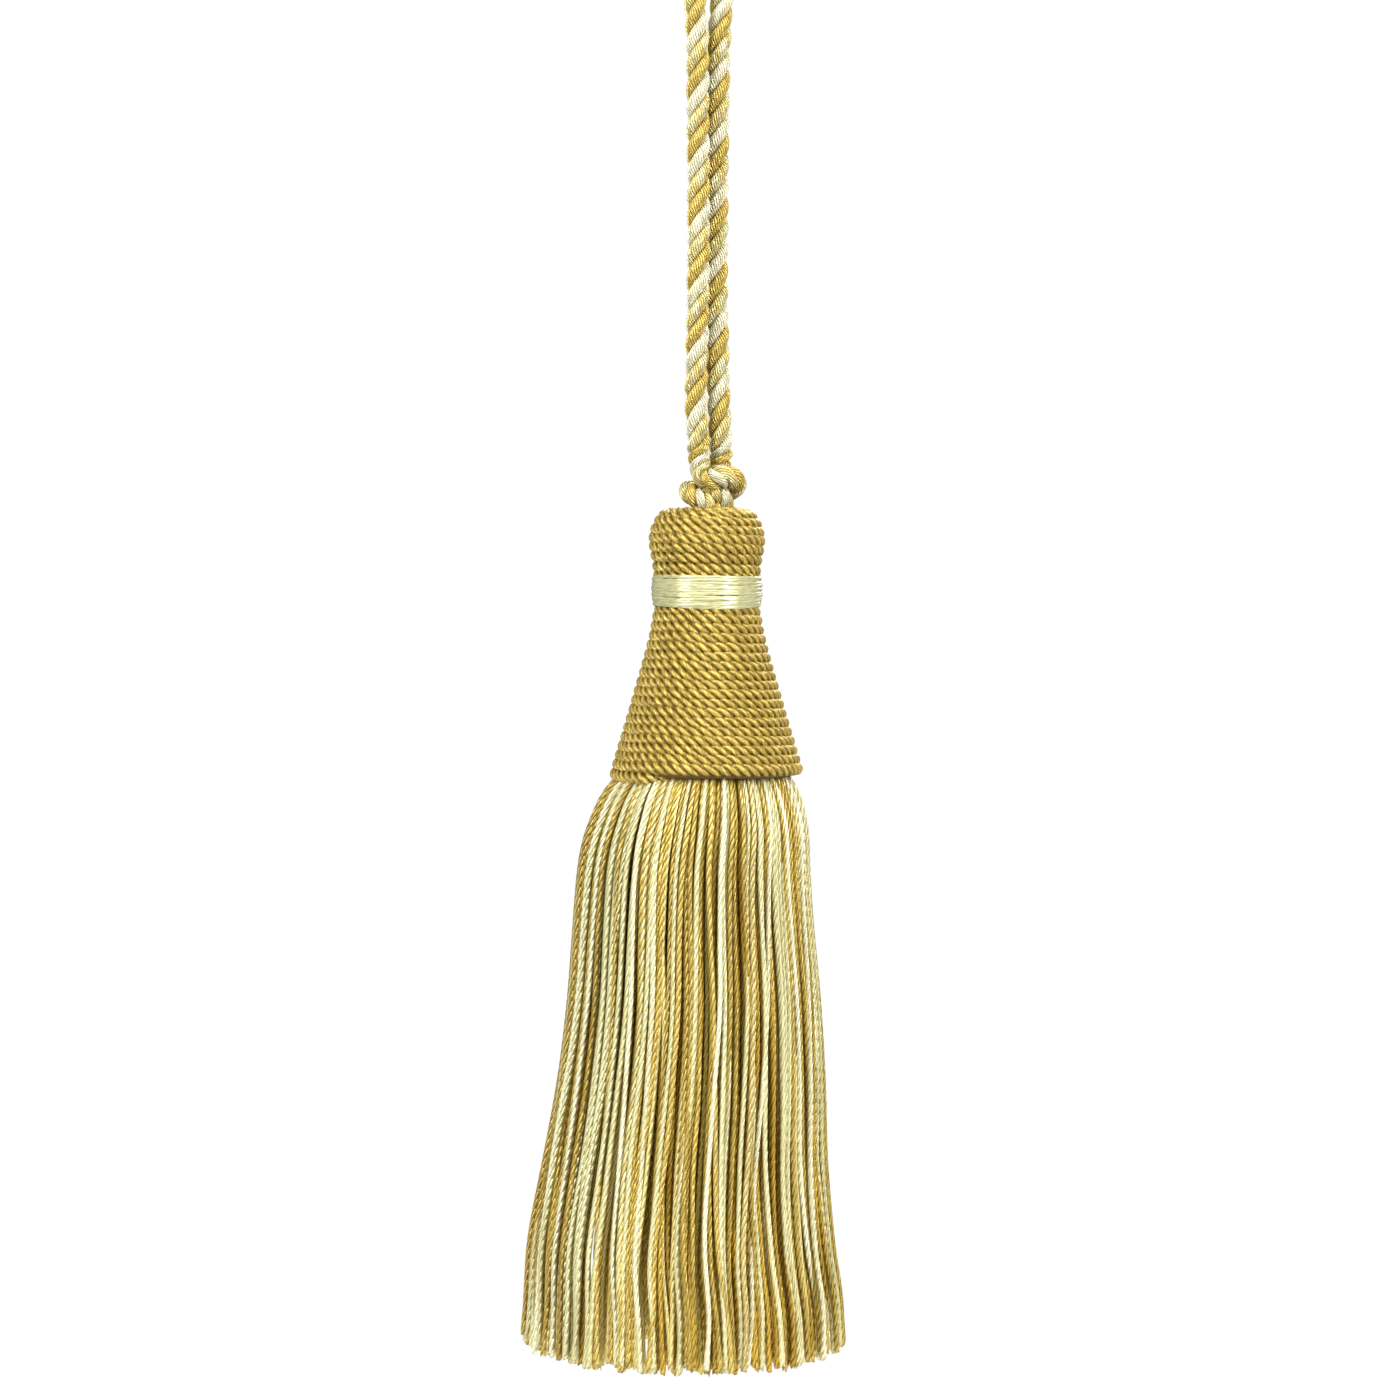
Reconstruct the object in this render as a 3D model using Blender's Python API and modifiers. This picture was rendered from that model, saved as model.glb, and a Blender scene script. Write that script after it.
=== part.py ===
"""A hanging tassel of silk yarn: a twisted cord loop, the knot that ties its two legs, a head wound
with fine twisted cord, a band of cream floss round the head's neck, and a skirt of cut yarn.

Units are metres, +Z is up and the camera side is -Y. The origin is the point of the loop that rests
on a hook. Tables give their sizes in millimetres and are turned into metres where they are read.
"""

import math
import random

import bmesh
import bpy
from mathutils import Vector

MM = 0.001
GAP = 0.3 * MM

# The head, a turned form. Depths in its tables run down from the top of the head.
LOOP_LENGTH = 120 * MM
HEAD_HEIGHT = 47.5 * MM
HEAD_TOP_Z = -LOOP_LENGTH
RIM_Z = HEAD_TOP_Z - HEAD_HEIGHT
HEAD_STEPS = 36

# The fine cord that is wound round the head.
WINDING_PITCH = 1.8 * MM
RIDGE_DEPTH = 0.5 * MM

# Outline of the wound head: radius, depth below the top.
NECK_OUTLINE_MM = (
    (5.3, 0.3),
    (6.6, 0.35),
    (8.2, 1.0),
    (9.3, 2.5),
    (10.0, 4.3),
    (10.2, 6.0),
    (10.0, 7.9),
    (9.6, 9.9),
    (9.35, 12.2),
)
CONE_OUTLINE_MM = (
    (9.4, 18.3),
    (10.4, 23.5),
    (13.3, 33.9),
    (16.4, 44.4),
    (16.9, 46.3),
    (16.3, 47.5),
)

# The bore in the head's top that takes the foot of the knot.
BORE_RADIUS = 5.0 * MM
BORE_DEPTH = 4.0 * MM

# The floss band, wound in a groove between the two.
BAND_TOP = 12.45 * MM
BAND_BOTTOM = 18.05 * MM
BAND_RADIUS = 9.65 * MM
BAND_EDGE_RADIUS = 9.35 * MM
BAND_THICKNESS = 1.0 * MM
BAND_STEPS = 32

# The three-ply cord of the loop.
CORD_RADIUS = 2.05 * MM
CORD_PLIES = 3
PLY_VALLEY_SHARE = 0.66
PLY_SHOULDER_SHARE = 0.93
PLY_SHOULDER_TURN = 0.24
CORD_LAY = 11.0 * MM
CORD_STEP = 1.7 * MM
LOOP_ARC_RADIUS = 8.6 * MM
LOOP_ARC_POINTS = 5

# Legs of the loop, from the knot up: x, y, height above the head's top.
LEFT_LEG_MM = (
    (-1.40, -1.15, 10.0),
    (-1.85, -1.15, 18.3),
    (-1.65, -1.40, 28.7),
    (-1.50, -1.60, 39.2),
    (-1.45, -1.60, 53.1),
    (-1.55, -1.45, 67.0),
    (-1.60, -1.30, 77.4),
    (-2.10, -0.90, 88.0),
    (-5.20, -0.35, 101.0),
)
RIGHT_LEG_MM = (
    (2.45, 1.15, 10.0),
    (2.10, 1.25, 18.3),
    (1.85, 1.40, 28.7),
    (1.65, 1.60, 39.2),
    (1.75, 1.60, 53.1),
    (1.90, 1.45, 67.0),
    (2.10, 1.30, 77.4),
    (2.70, 0.90, 88.0),
    (5.40, 0.35, 101.0),
)

# The knot: one leg is hitched round the other, and both go into the bore. x, y, height, radius.
HITCH_MM = (
    (-1.40, -1.15, 9.70, 2.05),
    (-1.33, -1.20, 8.40, 2.00),
    (-1.15, -1.55, 6.50, 1.90),
    (-0.70, -2.20, 4.90, 1.85),
    (0.90, -2.75, 4.55, 1.95),
    (2.70, -2.90, 4.95, 2.00),
    (4.30, -2.20, 4.75, 2.00),
    (5.05, -0.40, 3.90, 1.95),
    (4.50, 1.60, 2.90, 1.85),
    (2.20, 2.80, 2.40, 1.80),
    (-0.90, 2.60, 2.50, 1.80),
    (-2.90, 1.10, 2.60, 1.85),
    (-3.00, -0.80, 2.40, 1.90),
    (-1.90, -1.90, 1.35, 1.90),
    (0.20, -2.20, 0.20, 1.80),
    (1.30, -2.00, -1.20, 1.60),
    (1.20, -1.80, -3.00, 1.50),
)
STRAIGHT_MM = (
    (2.45, 1.15, 9.70, 2.05),
    (2.42, 1.10, 8.40, 2.00),
    (2.10, 0.80, 6.60, 1.90),
    (0.90, 0.10, 4.90, 1.70),
    (0.00, -0.70, 3.60, 1.70),
    (0.90, -1.50, 2.60, 1.75),
    (2.50, -1.80, 1.60, 1.80),
    (3.10, -1.20, 0.40, 1.60),
    (2.80, -0.20, -1.20, 1.50),
    (2.60, 0.30, -3.00, 1.50),
)
KNOT_STEP = 1.3 * MM

# The skirt. Its sections run down from the rim: depth, sideways lean, radius of the outer yarns.
SKIRT_SECTIONS_MM = (
    (1.0, 0.0, 13.3),
    (3.8, -0.9, 16.7),
    (10.8, -2.1, 18.8),
    (21.2, -2.6, 20.0),
    (39.0, -2.8, 21.3),
    (60.0, -3.9, 23.5),
    (80.0, -4.8, 25.9),
    (99.5, -4.9, 26.9),
)
HEADER_RADIUS = 14.4 * MM
HEADER_THICKNESS = 1.7 * MM
HEADER_STEPS = 48

# Rings of locks, from the outside in: share of the skirt's radius, locks, half-width at the
# root and at the cut end in millimetres.
LOCK_RINGS = (
    (1.00, 66, 0.48, 1.10),
    (0.83, 50, 0.56, 1.10),
    (0.66, 36, 0.56, 1.10),
    (0.48, 22, 0.56, 1.10),
    (0.30, 12, 0.56, 1.10),
    (0.11, 4, 0.56, 1.10),
)
LOCK_SWAY_SHARE = 0.13
LOCK_RAGGED = 1.3 * MM
OUTER_ROWS = (0, 1, 2, 3, 4, 5, 6, 7)
INNER_ROWS = (0, 3, 5, 7)
SEED = 7

COLOURS = {
    "gold_silk": ((0.58, 0.37, 0.08), 0.42),
    "cream_silk": ((0.83, 0.82, 0.55), 0.38),
    "skirt_silk": ((0.70, 0.58, 0.25), 0.45),
    "cord_silk": ((0.74, 0.62, 0.30), 0.42),
}


def clear_scene():
    for obj in list(bpy.data.objects):
        bpy.data.objects.remove(obj)


def new_collection(name):
    collection = bpy.data.collections.new(name)
    bpy.context.scene.collection.children.link(collection)
    return collection


def new_material(name):
    colour, roughness = COLOURS[name]
    material = bpy.data.materials.new(name)
    material.use_nodes = True
    shader = material.node_tree.nodes["Principled BSDF"]
    shader.inputs["Base Color"].default_value = (*colour, 1)
    shader.inputs["Roughness"].default_value = roughness
    shader.inputs["Metallic"].default_value = 0
    return material


def place(obj, collection, material=None):
    collection.objects.link(obj)
    if material:
        obj.data.materials.clear()
        obj.data.materials.append(material)
    return obj


def make_helper(obj):
    obj.hide_render = True
    obj.display_type = "WIRE"


def smooth_route(points, step):
    """Points about a step apart on a Catmull-Rom curve through vectors of any size."""
    ends = [points[0] * 2 - points[1], *points, points[-1] * 2 - points[-2]]
    route = [points[0].copy()]
    for before, start, end, after in zip(ends, ends[1:], ends[2:], ends[3:]):
        count = max(1, round((end - start).length / step))
        for i in range(1, count + 1):
            t = i / count
            route.append(
                0.5
                * (
                    2 * start
                    + (end - before) * t
                    + (2 * before - 5 * start + 4 * end - after) * t**2
                    + (3 * start - before - 3 * end + after) * t**3
                )
            )
    return route


def lobed_section(name, radius, helpers):
    """The cross-section of a cord laid up from round plies: a valley and two shoulders each."""
    corners = []
    for ply in range(CORD_PLIES):
        for turn, share in (
            (0.0, PLY_VALLEY_SHARE),
            (0.5 - PLY_SHOULDER_TURN / 2, PLY_SHOULDER_SHARE),
            (0.5 + PLY_SHOULDER_TURN / 2, PLY_SHOULDER_SHARE),
        ):
            angle = 2 * math.pi * (ply + turn) / CORD_PLIES
            corners.append((radius * share * math.cos(angle), radius * share * math.sin(angle)))
    curve = bpy.data.curves.new(name, "CURVE")
    spline = curve.splines.new("POLY")
    spline.points.add(len(corners) - 1)
    for point, (x, y) in zip(spline.points, corners):
        point.co = (x, y, 0, 1)
    spline.use_cyclic_u = True
    section = place(bpy.data.objects.new(name, curve), helpers)
    make_helper(section)
    return section


def cord_mesh(name, route, radii, helpers, start_turn=0.0):
    """A twisted cord along a route, as a closed mesh. Radii are shares of CORD_RADIUS."""
    curve = bpy.data.curves.new(name, "CURVE")
    curve.dimensions = "3D"
    curve.twist_mode = "MINIMUM"
    curve.bevel_mode = "OBJECT"
    curve.bevel_object = lobed_section(name + "_section", CORD_RADIUS, helpers)
    curve.use_fill_caps = True
    spline = curve.splines.new("POLY")
    spline.points.add(len(route) - 1)
    along = 0.0
    for i, (point, place_at) in enumerate(zip(spline.points, route)):
        if i:
            along += (place_at - route[i - 1]).length
        point.co = (*place_at, 1)
        point.radius = radii[i]
        point.tilt = 2 * math.pi * (start_turn + along / CORD_LAY)
    guide = place(bpy.data.objects.new(name + "_guide", curve), helpers)
    mesh = mesh_from(guide, name)
    bpy.data.objects.remove(guide)
    return mesh


def mesh_from(obj, name):
    """The evaluated object as a mesh whose caps are welded to its sides."""
    graph = bpy.context.evaluated_depsgraph_get()
    mesh = bpy.data.meshes.new_from_object(obj.evaluated_get(graph))
    mesh.name = name
    shape = bmesh.new()
    shape.from_mesh(mesh)
    bmesh.ops.remove_doubles(shape, verts=shape.verts, dist=1e-6)
    bmesh.ops.recalc_face_normals(shape, faces=shape.faces)
    shape.to_mesh(mesh)
    shape.free()
    return mesh


def add_mesh(name, mesh, collection, material):
    mesh.shade_smooth()
    mesh.set_sharp_from_angle(angle=math.radians(50))
    return place(bpy.data.objects.new(name, mesh), collection, material)


def ridged(outline):
    """The outline with a valley at the edge of each turn of the winding and a crown at its middle."""
    corners = [Vector((radius, -depth)) * MM for radius, depth in outline]
    lengths = [(b - a).length for a, b in zip(corners, corners[1:])]
    turns = round(sum(lengths) / WINDING_PITCH)
    profile = []
    for half_turn in range(2 * turns + 1):
        along = sum(lengths) * half_turn / (2 * turns)
        edge = 0
        while edge < len(lengths) - 1 and along > lengths[edge]:
            along -= lengths[edge]
            edge += 1
        run = (corners[edge + 1] - corners[edge]).normalized()
        inward = Vector((run.y, -run.x))
        depth = RIDGE_DEPTH if half_turn % 2 == 0 else 0
        profile.append(corners[edge] + run * along + inward * depth)
    return profile


def turned(name, profile, steps, collection, material, closed=False):
    """A turned solid: a profile of radii and heights, top to bottom, with a Screw modifier."""
    mesh = bpy.data.meshes.new(name)
    edges = [(i, i + 1) for i in range(len(profile) - 1)]
    if closed:
        edges.append((len(profile) - 1, 0))
    mesh.from_pydata([(point[0], 0, point[1]) for point in profile], edges, [])
    obj = place(bpy.data.objects.new(name, mesh), collection, material)
    screw = obj.modifiers.new("Turn", "SCREW")
    screw.steps = screw.render_steps = steps
    screw.use_merge_vertices = True
    screw.merge_threshold = 1e-5
    screw.use_smooth_shade = True
    obj.location.z = HEAD_TOP_Z
    return obj


def make_head(collection, material):
    """The wound head in one piece: a bore, a barrel neck, a groove for the band and a flared cone."""
    groove = BAND_RADIUS - BAND_THICKNESS - GAP
    neck = ridged(NECK_OUTLINE_MM)
    cone = ridged(CONE_OUTLINE_MM)
    profile = [
        Vector((0, -BORE_DEPTH)),
        Vector((BORE_RADIUS, -BORE_DEPTH)),
        Vector((BORE_RADIUS, neck[0].y)),
        *neck,
        Vector((groove, -BAND_TOP + GAP)),
        Vector((groove, -BAND_BOTTOM - GAP)),
        *cone,
        Vector((0, cone[-1].y)),
    ]
    turned("head", profile, HEAD_STEPS, collection, material)


def make_band(collection, material):
    """The floss band: a slightly crowned ring."""
    inner = BAND_RADIUS - BAND_THICKNESS
    middle = (BAND_TOP + BAND_BOTTOM) / 2
    corner = 0.5 * MM
    profile = [
        Vector((inner, -BAND_TOP)),
        Vector((BAND_EDGE_RADIUS, -BAND_TOP)),
        Vector((BAND_RADIUS, -BAND_TOP - corner)),
        Vector((BAND_RADIUS, -middle)),
        Vector((BAND_RADIUS, -BAND_BOTTOM + corner)),
        Vector((BAND_EDGE_RADIUS, -BAND_BOTTOM)),
        Vector((inner, -BAND_BOTTOM)),
    ]
    turned("neck_band", profile, BAND_STEPS, collection, material, closed=True)


def from_head_top(x, y, height):
    return Vector((x * MM, y * MM, HEAD_TOP_Z + height * MM))


def loop_points():
    """The loop's own points: up the left leg, over the arc that hangs on the hook and down."""
    points = [from_head_top(*row) for row in LEFT_LEG_MM]
    centre_z = CORD_RADIUS - LOOP_ARC_RADIUS
    for i in range(LOOP_ARC_POINTS):
        angle = math.pi * (1 - i / (LOOP_ARC_POINTS - 1))
        points.append(
            Vector((LOOP_ARC_RADIUS * math.cos(angle), 0, centre_z + LOOP_ARC_RADIUS * math.sin(angle)))
        )
    points += [from_head_top(*row) for row in reversed(RIGHT_LEG_MM)]
    return points


def make_loop(collection, material, helpers):
    route = smooth_route(loop_points(), CORD_STEP)
    mesh = cord_mesh("cord_loop", route, [1.0] * len(route), helpers)
    add_mesh("cord_loop", mesh, collection, material)


def knot_strand(name, table, helpers, start_turn):
    rows = [Vector((*from_head_top(x, y, height), radius * MM)) for x, y, height, radius in table]
    smooth = smooth_route(rows, KNOT_STEP)
    route = [Vector(row[:3]) for row in smooth]
    radii = [row[3] / CORD_RADIUS for row in smooth]
    return cord_mesh(name, route, radii, helpers, start_turn)


def make_knot(collection, material, helpers):
    """The two cords of the knot, joined where they press on each other."""
    hitch = knot_strand("cord_knot", HITCH_MM, helpers, 0.3)
    knot = add_mesh("cord_knot", hitch, collection, material)
    straight = knot_strand("straight_cord", STRAIGHT_MM, helpers, 0.1)
    other = place(bpy.data.objects.new("straight_cord", straight), helpers)
    make_helper(other)
    join = knot.modifiers.new("Join", "BOOLEAN")
    join.operation = "UNION"
    join.use_self = True
    join.object = other


def skirt_at(row):
    depth, lean, radius = SKIRT_SECTIONS_MM[row]
    return depth * MM, lean * MM, radius * MM


def lock_points(share, angle, sway, ragged, root_half, end_half, rows):
    """The points of one lock, from its root down: place and half-width."""
    last_depth = skirt_at(-1)[0]
    for row in rows:
        depth, lean, radius = skirt_at(row)
        fall = depth / last_depth
        turn = angle + sway * fall
        if row == rows[-1]:
            depth += ragged
        half = root_half + (end_half - root_half) * fall
        reach = radius * share
        yield (
            Vector((lean + reach * math.cos(turn), reach * math.sin(turn), RIM_Z - depth)),
            half * MM,
        )


def make_skirt(collection, material, helpers):
    """The skirt: locks of yarn that hang apart, fused at their roots into a round header."""
    rng = random.Random(SEED)
    curve = bpy.data.curves.new("locks", "CURVE")
    curve.dimensions = "3D"
    curve.bevel_depth = 1.0
    curve.bevel_resolution = 0
    curve.use_fill_caps = True
    for share, count, root_half, end_half in LOCK_RINGS:
        rows = OUTER_ROWS if share == 1.0 else INNER_ROWS
        for i in range(count):
            angle = 2 * math.pi * (i + 0.5 * (share < 1.0)) / count
            sway = rng.uniform(-1, 1) * LOCK_SWAY_SHARE * 2 * math.pi / count
            ragged = rng.uniform(-1, 0.6) * LOCK_RAGGED
            points = list(lock_points(share, angle, sway, ragged, root_half, end_half, rows))
            spline = curve.splines.new("POLY")
            spline.points.add(len(points) - 1)
            for point, (at, half) in zip(spline.points, points):
                point.co = (*at, 1)
                point.radius = half
    guide = place(bpy.data.objects.new("lock_guide", curve), helpers)
    locks = place(bpy.data.objects.new("locks", mesh_from(guide, "locks")), helpers)
    bpy.data.objects.remove(guide)
    make_helper(locks)

    header = bmesh.new()
    bmesh.ops.create_cone(
        header,
        cap_ends=True,
        segments=HEADER_STEPS,
        radius1=HEADER_RADIUS,
        radius2=HEADER_RADIUS,
        depth=HEADER_THICKNESS,
    )
    mesh = bpy.data.meshes.new("skirt")
    header.to_mesh(mesh)
    header.free()
    skirt = place(bpy.data.objects.new("skirt", mesh), collection, material)
    skirt.location.z = RIM_Z - GAP - HEADER_THICKNESS / 2
    join = skirt.modifiers.new("Join", "BOOLEAN")
    join.operation = "UNION"
    join.object = locks


def main():
    clear_scene()
    tassel = new_collection("silk_tassel")
    helpers = new_collection("helpers")
    materials = {name: new_material(name) for name in COLOURS}
    make_head(tassel, materials["gold_silk"])
    make_band(tassel, materials["cream_silk"])
    make_loop(tassel, materials["cord_silk"], helpers)
    make_knot(tassel, materials["cord_silk"], helpers)
    make_skirt(tassel, materials["skirt_silk"], helpers)


main()
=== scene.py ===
"""A hanging silk tassel with its real yarns: the three-ply hanging cord and its knot, the twisted
cord wound round the head, the floss band and the cut threads of the skirt.

Metres, +Z up. The origin is the point of the loop that rests on a hook, and the camera side is -Y.
"""

import math

import bmesh
import bpy
import numpy as np
from bpy.props import FloatProperty, FloatVectorProperty, IntProperty, PointerProperty
from bpy.types import Operator, Panel, PropertyGroup
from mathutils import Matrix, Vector


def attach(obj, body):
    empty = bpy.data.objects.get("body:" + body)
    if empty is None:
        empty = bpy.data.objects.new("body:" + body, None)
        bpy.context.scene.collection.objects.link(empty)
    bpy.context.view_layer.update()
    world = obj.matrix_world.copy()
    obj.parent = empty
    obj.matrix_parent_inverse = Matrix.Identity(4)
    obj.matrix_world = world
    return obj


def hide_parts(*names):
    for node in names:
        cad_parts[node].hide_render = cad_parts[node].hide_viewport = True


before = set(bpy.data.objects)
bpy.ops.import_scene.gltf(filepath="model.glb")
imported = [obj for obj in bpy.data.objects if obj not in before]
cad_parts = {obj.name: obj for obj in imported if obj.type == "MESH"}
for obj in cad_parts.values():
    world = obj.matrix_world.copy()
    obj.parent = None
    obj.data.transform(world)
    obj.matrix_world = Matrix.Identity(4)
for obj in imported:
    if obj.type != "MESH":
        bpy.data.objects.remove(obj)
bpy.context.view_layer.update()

bl_info = {
    "name": "Silk Tassel",
    "version": (1, 0, 0),
    "blender": (4, 5, 0),
    "location": "3D View > Sidebar > Tassel",
    "description": "Dresses a hanging tassel with its cord, winding, floss and cut yarn",
    "category": "Object",
}

MM = 0.001
BODY = "root"

# The tassel's main sizes, the same as the solids'. Depths run down from the top of the head or,
# for the skirt, from the rim.
LOOP_LENGTH = 120 * MM
HEAD_HEIGHT = 47.5 * MM
HEAD_TOP_Z = -LOOP_LENGTH
RIM_Z = HEAD_TOP_Z - HEAD_HEIGHT
CORD_RADIUS = 2.05 * MM
LOOP_ARC_RADIUS = 8.6 * MM
LOOP_ARC_POINTS = 5

# Route of the hanging cord: x, y, height above the head's top, radius, in millimetres.
HITCH_MM = (
    (1.20, -1.80, -3.00, 1.50),
    (1.30, -2.00, -1.20, 1.60),
    (0.20, -2.20, 0.20, 1.80),
    (-1.90, -1.90, 1.35, 1.90),
    (-3.00, -0.80, 2.40, 1.90),
    (-2.90, 1.10, 2.60, 1.85),
    (-0.90, 2.60, 2.50, 1.80),
    (2.20, 2.80, 2.40, 1.80),
    (4.50, 1.60, 2.90, 1.85),
    (5.05, -0.40, 3.90, 1.95),
    (4.30, -2.20, 4.75, 2.00),
    (2.70, -2.90, 4.95, 2.00),
    (0.90, -2.75, 4.55, 1.95),
    (-0.70, -2.20, 4.90, 1.85),
    (-1.15, -1.55, 6.50, 1.90),
    (-1.33, -1.20, 8.40, 2.00),
)
LEFT_LEG_MM = (
    (-1.40, -1.15, 10.0, 2.05),
    (-1.85, -1.15, 18.3, 2.05),
    (-1.65, -1.40, 28.7, 2.05),
    (-1.50, -1.60, 39.2, 2.05),
    (-1.45, -1.60, 53.1, 2.05),
    (-1.55, -1.45, 67.0, 2.05),
    (-1.60, -1.30, 77.4, 2.05),
    (-2.10, -0.90, 88.0, 2.05),
    (-5.20, -0.35, 101.0, 2.05),
)
RIGHT_LEG_MM = (
    (5.40, 0.35, 101.0, 2.05),
    (2.70, 0.90, 88.0, 2.05),
    (2.10, 1.30, 77.4, 2.05),
    (1.90, 1.45, 67.0, 2.05),
    (1.75, 1.60, 53.1, 2.05),
    (1.65, 1.60, 39.2, 2.05),
    (1.85, 1.40, 28.7, 2.05),
    (2.10, 1.25, 18.3, 2.05),
    (2.45, 1.15, 10.0, 2.05),
)
STRAIGHT_MM = (
    (2.42, 1.10, 8.40, 2.00),
    (2.10, 0.80, 6.60, 1.90),
    (0.90, 0.10, 4.90, 1.70),
    (0.00, -0.70, 3.60, 1.70),
    (0.90, -1.50, 2.60, 1.75),
    (2.50, -1.80, 1.60, 1.80),
    (3.10, -1.20, 0.40, 1.60),
    (2.80, -0.20, -1.20, 1.50),
    (2.60, 0.30, -3.00, 1.50),
)
# Steps of the plies' rings and of the path that measures the cord.
CORD_STEP = 0.35 * MM
PLIES = 3
# Height over the head at which the knot's cord ends and the loop's begins, the share of a turn
# that the plies have made there, and how the knot's last rings draw in under the loop's first.
LEG_FOOT = 10.0 * MM
CORD_FOOT_TURN = 0.3
SUNK_RINGS = 3
SUNK_STEP = 0.05
# How much of the silk's red, green and blue the cord's plies have.
CORD_GOLD_SHADES = (1.2, 1.18, 1.1)
CORD_CREAM_SHADES = (1.12, 1.12, 1.4)

# A ply's oval cross-section, in shares of the cord's radius: its middle, its half-width, and how
# far its yarns' valleys lie under their crowns. The plies press into each other.
PLY_MIDDLE = 0.5
PLY_HALF_WIDTH = 0.60
YARN_VALLEY = 0.07

# Outline of the wound head over its crowns: radius, depth.
NECK_OUTLINE_MM = (
    (4.6, 2.6),
    (4.9, 0.9),
    (5.6, 0.3),
    (6.6, 0.35),
    (8.2, 1.0),
    (9.3, 2.5),
    (10.0, 4.3),
    (10.2, 6.0),
    (10.0, 7.9),
    (9.6, 9.9),
    (9.35, 12.2),
    (8.9, 13.4),
)
CONE_OUTLINE_MM = (
    (8.9, 17.2),
    (9.4, 18.4),
    (10.4, 23.5),
    (13.3, 33.9),
    (16.4, 44.4),
    (17.0, 46.6),
)
OUTLINE_STEP = 0.3 * MM

# The winding cord: its radius as a share of the pitch, the valleys between its plies as a share
# of that radius, and the angles round the head at which its two runs stop.
WINDING_SHARE_OF_PITCH = 0.68
WINDING_VALLEY = 0.62
POINTS_A_PLY = 6
WINDING_STEP = 0.55 * MM
WINDING_ANGLE_STEP = math.radians(1.5)
NECK_END_ANGLE = math.radians(60)
CONE_END_ANGLE = math.radians(259)
# Its end at the rim dips, then turns in under the rim and thins.
DIP = 0.3 * MM
DIP_RUN = 20 * MM
TUCK = 3.4 * MM
TUCK_RUN = 9 * MM
TUCK_THINNING = 0.45

# The turned core's bore and foot: radius, depth. It stands under the winding's crowns by a share
# of the pitch.
CORE_BORE_MM = ((0.0, 4.0), (3.6, 4.0), (3.6, 2.0))
CORE_FOOT_MM = ((14.8, 47.0), (0.0, 47.0))
CORE_UNDER_PITCH = 0.75
# Near black for the core: painted shade where it shows between and under the winding's turns.
CORE_PAINTED_SHADE = (0.06, 0.03, 0.006)

# The floss band: depths of its edges, how far its turns slope, its radius and how far its middle
# stands out, the radius of a turn as a share of the pitch, and how unevenly its turns lie.
BAND_TOP = 11.85 * MM
BAND_BOTTOM = 17.55 * MM
BAND_DROOP = 0.45 * MM
BAND_RADIUS = 9.68 * MM
BAND_BULGE = 0.28 * MM
BAND_ANGLE_STEP = math.radians(3)
FLOSS_SHARE_OF_PITCH = 0.7
FLOSS_WANDER = 0.05 * MM
FLOSS_RIPPLE = 0.03 * MM
FLOSS_LIFT = 0.04 * MM
# How much of the light cream's red, green and blue the floss has.
FLOSS_SHADES = (0.80, 0.83, 0.80)

# The skirt's sections: depth, sideways lean, radius of the outer threads.
SKIRT_SECTIONS_MM = (
    (-1.6, -0.6, 13.2),
    (-0.4, -0.8, 14.8),
    (0.6, -0.9, 15.6),
    (2.2, -1.1, 16.6),
    (3.7, -1.3, 17.3),
    (7.2, -1.6, 18.5),
    (10.7, -2.0, 19.3),
    (16.0, -2.4, 19.9),
    (26.0, -2.5, 20.7),
    (38.5, -2.5, 21.7),
    (52.4, -3.1, 22.9),
    (66.4, -4.1, 24.2),
    (80.3, -4.6, 26.0),
    (90.7, -4.1, 27.1),
    (99.5, -4.1, 27.5),
    (104.0, -4.1, 27.6),
)

# Layers of threads from the outside in: name, share of the skirt's radius, threads, points
# round a thread, ring step in millimetres.
SKIRT_LAYERS = (
    ("stray", 1.015, 30, 8, 1.0),
    ("outer", 0.99, 132, 8, 1.0),
    ("under", 0.955, 132, 6, 1.5),
    ("inner", 0.88, 90, 5, 2.5),
    ("inner", 0.70, 52, 5, 2.5),
    ("inner", 0.52, 34, 5, 2.5),
    ("inner", 0.30, 18, 5, 2.5),
    ("inner", 0.10, 6, 5, 2.5),
)
# How far threads stray from their even places: round the skirt as a share of their distance,
# every second one inwards, and in or out.
THREAD_SHIFT = 0.35
EVERY_SECOND_IN = 0.025
THREAD_IN_OUT = (-0.018, 0.012)

# Waves round the skirt that neighbours share, and their size in radians.
SHARED_SWAYS = ((7, 0.016), (13, 0.015), (23, 0.013), (37, 0.009))
# A thread's own bends from root to cut: fewest, most, and size in radians.
OWN_BENDS = ((0.8, 1.6, 0.012), (2.0, 4.0, 0.006))
# How far it drifts round the skirt by its cut end, in radians, and how far in or out, as shares
# of the skirt's radius.
DRIFT = 0.07
STRAY_DRIFT = 0.17
SWELL = 0.016
SWELL_WAVE = 0.015

# The cut edge is lower on the right and higher at both sides, and its threads end unevenly.
SKIRT_LENGTH_MM = 99.3
CUT_TILT_MM = 0.3
CUT_RISE_MM = 0.7
CUT_SPREAD_MM = (-1.0, 0.5)
CUT_RAGGED = (-0.4, 0.3)

# A thread's width: how it varies, its share at the root, how much the cut end fluffs out, and
# the share of that at the very end.
WIDTH_SPREAD = (-0.12, 0.1)
ROOT_WIDTH = 0.84
ROOT_RUN = 14 * MM
END_FLUFF = 0.3
END_RUN = 5.0 * MM
END_WIDTH = 0.85

THREAD_PLIES = 3
THREAD_ROWS = 60
# Cream's share of a colour, and of the second colour in a mixed thread.
CREAM_SHARES = {"gold": 0.02, "cream": 1.0, "mixed": 0.3}
MIXED_ACCENT = 0.7
# Every so many threads the share of cream ones is drawn anew. Some of the others are mixed.
COLOUR_RUN = 5
CREAM_THREADS = (0.2, 0.85)
MIXED_THREADS = 0.15
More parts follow.
